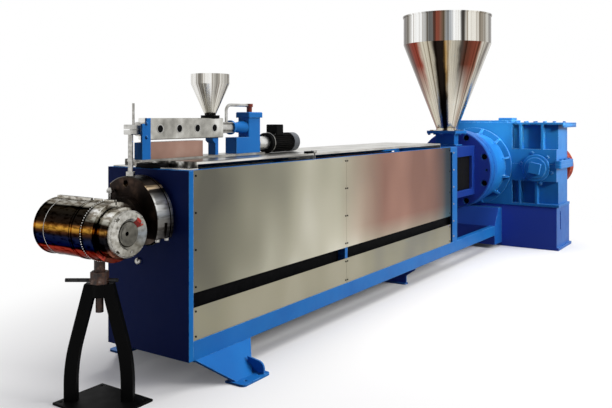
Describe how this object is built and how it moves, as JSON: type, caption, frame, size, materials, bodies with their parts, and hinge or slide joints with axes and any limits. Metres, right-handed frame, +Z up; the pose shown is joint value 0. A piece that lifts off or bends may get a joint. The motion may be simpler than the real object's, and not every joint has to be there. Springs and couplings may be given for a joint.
{
  "type": "cable extrusion line",
  "caption": "Cable-coating extrusion line: panelled extruder with feed hopper, cross die head on a jack stand, small top extruder, gearbox on a pedestal and input pulley.",
  "frame": {"origin": "on the floor, at the centre of the four anchor holes of the two front feet, under the screw axis", "axes": "+X from the die head to the drive, +Y to the side away from the input pulley, +Z up"},
  "size_m": [6.335, 1.549, 2.54],
  "materials": {
    "black_paint": "satin",
    "blue_paint": "satin",
    "dark_steel": "machined",
    "grey_paint": "satin",
    "pale_steel": "machined",
    "polished_steel": "polished",
    "red_cast_iron": "painted",
    "red_paint": "gloss",
    "rusty_steel": "rusty",
    "stainless_sheet": "brushed"
  },
  "bodies": {
    "line": {"barrel": "dark_steel", "barrel_flange": "dark_steel", "die": "dark_steel", "die_head_body": "dark_steel", "die_head_neck": "dark_steel", "die_ring_nut": "pale_steel", "drum_flange": "blue_paint", "far_bottom_beam": "blue_paint", "far_heater_band": "polished_steel", "far_lower_panel": "stainless_sheet", "far_middle_post": "blue_paint", "far_top_rail": "blue_paint", "far_upper_panel": "stainless_sheet", "feed_hopper": "polished_steel", "feed_housing": "blue_paint", "feed_throat": "blue_paint", "frame_cross_member": "blue_paint", "front_barrel_cover": "stainless_sheet", "front_end_plate": "blue_paint", "front_far_leg": "blue_paint", "front_near_leg": "blue_paint", "gearbox_bearing_cap": "blue_paint", "gearbox_lid": "blue_paint", "gearbox_lower_housing": "blue_paint", "gearbox_pedestal": "blue_paint", "gearbox_upper_housing": "blue_paint", "lantern": "blue_paint", "melt_clamp_block": "pale_steel", "melt_pipe": "pale_steel", "melt_probe": "pale_steel", "middle_heater_band": "polished_steel", "near_bottom_beam": "blue_paint", "near_heater_band": "polished_steel", "near_lower_panel": "stainless_sheet", "near_middle_post": "blue_paint", "near_top_rail": "blue_paint", "near_upper_panel": "stainless_sheet", "rear_barrel_cover": "stainless_sheet", "rear_end_plate": "blue_paint", "rear_leg": "blue_paint", "second_barrel": "dark_steel", "second_barrel_cover": "stainless_sheet", "second_bent_pipe": "blue_paint", "second_extruder_base": "blue_paint", "second_front_plate": "blue_paint", "second_hopper": "polished_steel", "second_motor": "black_paint", "second_motor_adapter": "pale_steel", "second_motor_fan_cover": "grey_paint", "second_motor_terminal_box": "black_paint", "second_reducer": "blue_paint", "second_shield": "stainless_sheet", "second_throat": "black_paint", "second_valve": "red_paint", "stand_base_plate": "black_paint", "stand_frame": "black_paint", "swing_bolt": "pale_steel"},
    "pulley": {"input_pulley": "red_cast_iron"},
    "jack_nut": {"jack_nut": "rusty_steel"},
    "jack_screw": {"jack_screw": "rusty_steel"}
  },
  "joints": [
    {"name": "pulley_spin", "type": "hinge", "parent": "line", "child": "pulley", "pos_m": [5.4225, -0.714, 0.9], "axis": [1, 0, 0], "continuous": true},
    {"name": "jack_nut_turn", "type": "hinge", "parent": "line", "child": "jack_nut", "pos_m": [-0.6795, -0.046, 0.62], "axis": [0, 0, 1], "range_deg": [0, 3600]},
    {"name": "jack_screw_slide", "type": "slide", "parent": "line", "child": "jack_screw", "axis": [0, 0, 1], "range_m": [-0.06, 0]}
  ],
  "couplings": [
    {"joint": "jack_screw_slide", "follows": "jack_nut_turn", "m_per_rad": -0.00095493}
  ]
}
